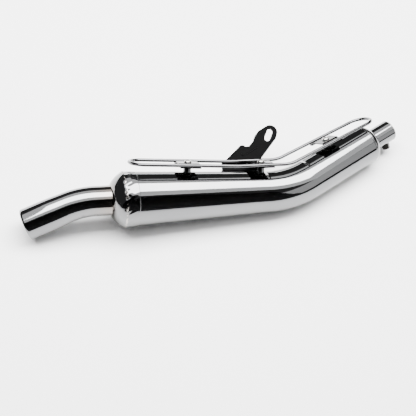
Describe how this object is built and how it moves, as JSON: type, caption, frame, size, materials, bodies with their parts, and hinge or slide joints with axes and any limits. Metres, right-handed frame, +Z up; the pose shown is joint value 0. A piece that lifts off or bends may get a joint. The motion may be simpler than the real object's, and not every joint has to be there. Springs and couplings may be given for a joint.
{
  "type": "exhaust muffler",
  "caption": "Bent motorcycle exhaust silencer with a socket inlet, a short straight outlet, a wire heat guard and a slotted mounting bracket.",
  "frame": {"origin": "centre of the inlet socket's mouth", "axes": "+X to the rear along the casing's front length, +Z up as the muffler lies on a floor, +Y to the inside of its bend"},
  "size_m": [0.5743, 0.1508, 0.0962],
  "materials": {
    "chromed_casing": "bright chrome plate, smooth, faint ripple from pressing",
    "chromed_weld": "chrome over a rippled weld bead",
    "inner_steel": "bare pressed steel",
    "tail_steel": "bright chrome outside the casing",
    "glass_fibre": "matted glass fibre",
    "dark_fixing": "blackened steel, satin",
    "diffuser_steel": "bare steel with heat tint",
    "chromed_wire": "bright chrome plate",
    "chromed_clip": "bright chrome plate",
    "plated_screw": "bright zinc plate",
    "insulator": "pressed fibre, matt",
    "chromed_post": "bright chrome plate",
    "black_bracket": "gloss black stove enamel",
    "chromed_foot": "chrome plate over a pressed strap",
    "black_weld": "gloss black enamel over a weld bead"
  },
  "bodies": {
    "casing": {"front_shell": "chromed_casing", "rear_shell": "chromed_casing", "front_dome": "chromed_casing", "rear_dome": "chromed_casing", "knee_shell": "chromed_casing", "inlet_pipe": "chromed_casing", "inlet_socket": "chromed_casing", "inlet_weld": "chromed_weld", "front_seam_weld": "chromed_weld", "outlet_weld": "chromed_weld", "inlet_core": "inner_steel", "transfer_tube_upper": "inner_steel", "transfer_tube_lower": "inner_steel", "return_tube": "inner_steel", "tail_core": "inner_steel", "tail_pipe": "tail_steel", "front_baffle": "inner_steel", "middle_baffle": "inner_steel", "rear_baffle": "inner_steel", "fibre_packing": "glass_fibre", "packing_washer": "inner_steel", "diffuser_boss": "dark_fixing", "guard_wire": "chromed_wire", "guard_clip_front": "chromed_clip", "guard_screw_front": "plated_screw", "guard_bush_front": "insulator", "guard_post_front": "chromed_post", "guard_clip_middle": "chromed_clip", "guard_screw_middle": "plated_screw", "guard_bush_middle": "insulator", "guard_post_middle": "chromed_post", "guard_clip_rear": "chromed_clip", "guard_screw_rear": "plated_screw", "guard_bush_rear": "insulator", "guard_post_rear": "chromed_post", "bracket_foot": "chromed_foot", "bracket_plate": "black_bracket", "bracket_weld_upper": "black_weld", "bracket_weld_lower": "black_weld"},
    "diffuser": {"diffuser_tube": "diffuser_steel", "diffuser_collar": "diffuser_steel", "diffuser_cap": "diffuser_steel"},
    "bolt": {"diffuser_bolt": "dark_fixing"}
  },
  "joints": [
    {"name": "diffuser_slide", "type": "slide", "parent": "casing", "child": "diffuser", "axis": [0.8842, 0.4671, -0.005], "range_m": [0, 0.07]},
    {"name": "bolt_release", "type": "slide", "parent": "casing", "child": "bolt", "axis": [0.317, -0.608, -0.7279], "range_m": [0, 0.012]}
  ]
}
